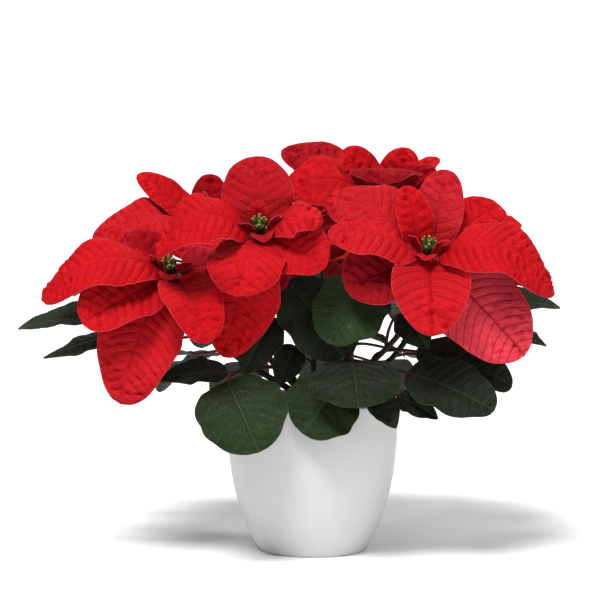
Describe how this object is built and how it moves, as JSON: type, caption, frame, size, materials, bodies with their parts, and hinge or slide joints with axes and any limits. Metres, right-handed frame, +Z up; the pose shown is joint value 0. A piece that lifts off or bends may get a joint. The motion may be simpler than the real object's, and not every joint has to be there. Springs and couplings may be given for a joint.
{
  "type": "potted poinsettia",
  "caption": "Potted poinsettia with layered heads of red bracts over dark green stalked leaves, rising from soil in a plain round white flared pot",
  "frame": {"origin": "centre of the pot's flat underside", "axes": "+Z up; -Y is the front that the picture shows; +X to the right seen from the front"},
  "size_m": [0.4394, 0.3133, 0.3317],
  "materials": {
    "pot": "smooth off-white satin glaze, plain",
    "soil": "dark crumbly peat compost, matte",
    "stem": "olive-brown bark on a young woody stem",
    "leaf": "dark green leaf with pale veins and soft sheen, on dark red stalks and olive stems",
    "bract": "velvety scarlet bract with sunken side veins and a thin paler rim",
    "bud": "waxy green cup with yellow gland and stamens"
  },
  "bodies": {
    "root": {"pot": "pot", "soil": "soil", "trunk": "stem", "branch_left": "leaf", "bracts_left": "bract", "cyathia_left": "bud", "branch_centre": "leaf", "bracts_centre": "bract", "cyathia_centre": "bud", "branch_right": "leaf", "bracts_right": "bract", "cyathia_right": "bud", "branch_top": "leaf", "bracts_top": "bract", "cyathia_top": "bud", "branch_back_left": "leaf", "bracts_back_left": "bract", "cyathia_back_left": "bud", "branch_middle": "leaf", "bracts_middle": "bract", "cyathia_middle": "bud", "branch_side": "leaf", "bracts_side": "bract", "cyathia_side": "bud", "branch_back": "leaf", "bracts_back": "bract", "cyathia_back": "bud"}
  },
  "joints": []
}
